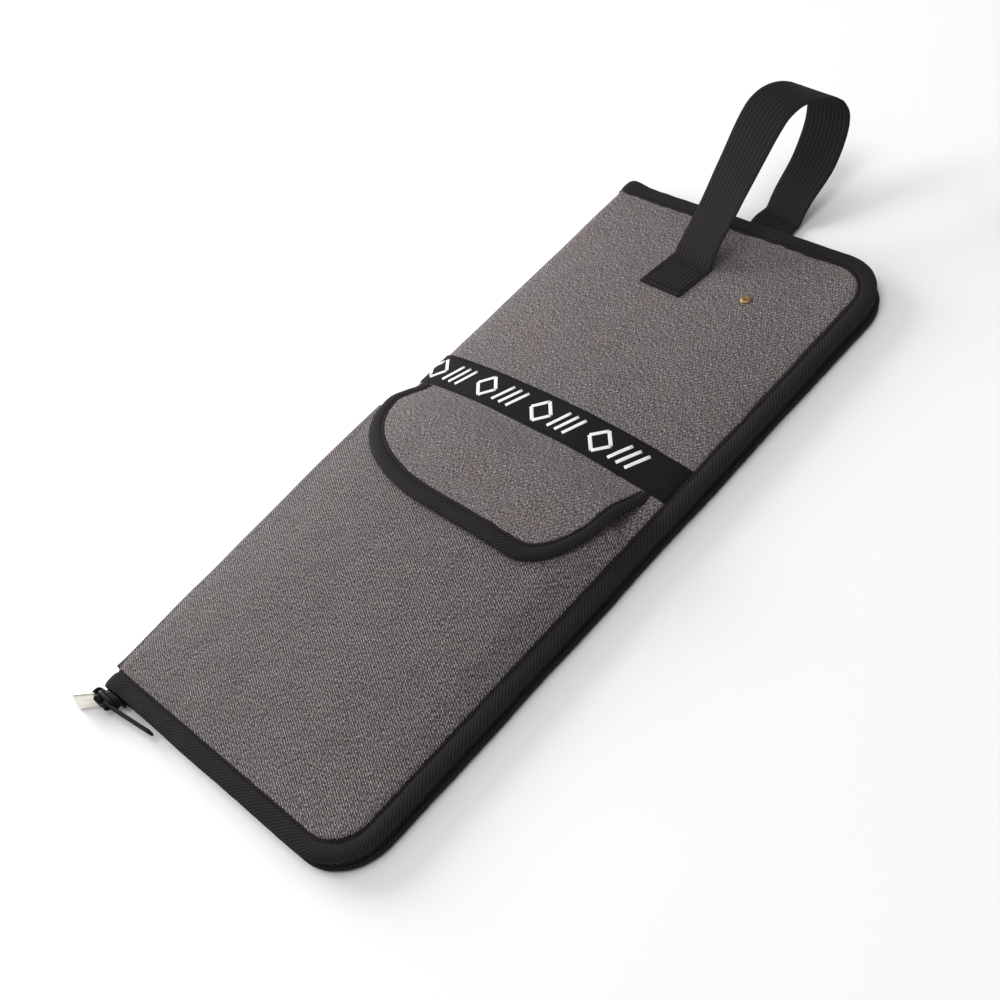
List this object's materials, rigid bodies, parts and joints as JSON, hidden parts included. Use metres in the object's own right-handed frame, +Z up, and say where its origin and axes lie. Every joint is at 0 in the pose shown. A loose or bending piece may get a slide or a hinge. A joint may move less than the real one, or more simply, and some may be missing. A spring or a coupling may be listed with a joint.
{
  "type": "drum stick bag",
  "caption": "Slim padded zip-round bag for drum sticks, with a domed front cover, flapped front pocket, trim band, webbing handle, rivet and stick sleeves inside.",
  "frame": {"origin": "centre of the back cover's resting face, half way along and across the closed bag", "axes": "+X from the spine to the zipped long edge, +Y towards the handle end, +Z up through the closed bag towards the front cover"},
  "size_m": [0.2221, 0.5543, 0.0821],
  "materials": {
    "outer_fabric": "heather melange twill",
    "binding_tape": "herringbone binding tape",
    "lining_fabric": "plain nylon lining",
    "padding": "closed-cell foam sheet",
    "zip_textile": "woven zipper tape",
    "zip_coil": "nylon coil",
    "webbing": "ribbed polypropylene webbing",
    "band_ribbon": "satin ribbon",
    "fastener_tape": "hook-and-loop tape",
    "black_metal": "black enamel",
    "brass_rivet": "antique brass",
    "nickel_clip": "satin nickel"
  },
  "bodies": {
    "back_cover": {"back_shell": "outer_fabric", "back_foam": "padding", "back_lining": "lining_fabric", "back_binding": "binding_tape", "back_zip_tape": "zip_textile", "back_zip_coil": "zip_coil", "stick_pocket": "lining_fabric", "stick_pocket_tape": "binding_tape", "band_back": "band_ribbon", "handle_rear": "webbing", "handle_rear_tab": "webbing", "rivet_back": "brass_rivet", "zip_tail": "zip_textile", "zip_end_clip": "nickel_clip", "zip_bottom_stop": "black_metal"},
    "front_cover": {"front_shell": "outer_fabric", "front_foam": "padding", "front_lining": "lining_fabric", "front_binding": "binding_tape", "front_zip_tape": "zip_textile", "front_zip_coil": "zip_coil", "front_pocket": "outer_fabric", "front_pocket_hem": "outer_fabric", "pocket_hook_patch": "fastener_tape", "band_front": "band_ribbon", "handle_front": "webbing", "inner_pocket": "lining_fabric", "inner_pocket_tape": "binding_tape", "rivet_front": "brass_rivet"},
    "flap": {"flap_panel": "outer_fabric", "flap_binding": "binding_tape", "flap_loop_patch": "fastener_tape"},
    "slider": {"zip_slider": "black_metal"},
    "pull": {"zip_pull": "black_metal"},
    "back_strap": {"strap_back": "webbing"},
    "back_hook": {"strap_back_hook": "black_metal"},
    "front_strap": {"strap_front": "webbing"},
    "front_hook": {"strap_front_hook": "black_metal"}
  },
  "joints": [
    {"name": "cover_open", "type": "hinge", "parent": "back_cover", "child": "front_cover", "pos_m": [-0.106, 0, 0.007], "axis": [0, -1, 0], "range_deg": [0, 168]},
    {"name": "flap_open", "type": "hinge", "parent": "front_cover", "child": "flap", "pos_m": [-0.003, 0.028, 0.0248], "axis": [-1, 0, 0], "range_deg": [0, 150]},
    {"name": "slider_travel", "type": "slide", "parent": "back_cover", "child": "slider", "axis": [1, 0, 0], "range_m": [0, 0.155]},
    {"name": "pull_swing", "type": "hinge", "parent": "slider", "child": "pull", "pos_m": [-0.097, -0.2378, 0.007], "axis": [0, 0, -1], "range_deg": [0, 110]},
    {"name": "back_strap_swing", "type": "hinge", "parent": "back_cover", "child": "back_strap", "pos_m": [0.042, 0.168, 0.0053], "axis": [0, 0, -1], "range_deg": [0, 90]},
    {"name": "back_hook_tilt", "type": "hinge", "parent": "back_strap", "child": "back_hook", "pos_m": [0.042, 0.10978, 0.00668], "axis": [-1, 0, 0], "range_deg": [0, 10]},
    {"name": "front_strap_swing", "type": "hinge", "parent": "front_cover", "child": "front_strap", "pos_m": [0.042, 0.168, 0.0123], "axis": [0, 0, 1], "range_deg": [0, 90]},
    {"name": "front_hook_tilt", "type": "hinge", "parent": "front_strap", "child": "front_hook", "pos_m": [-0.01622, 0.168, 0.01092], "axis": [0, -1, 0], "range_deg": [0, 8]}
  ]
}
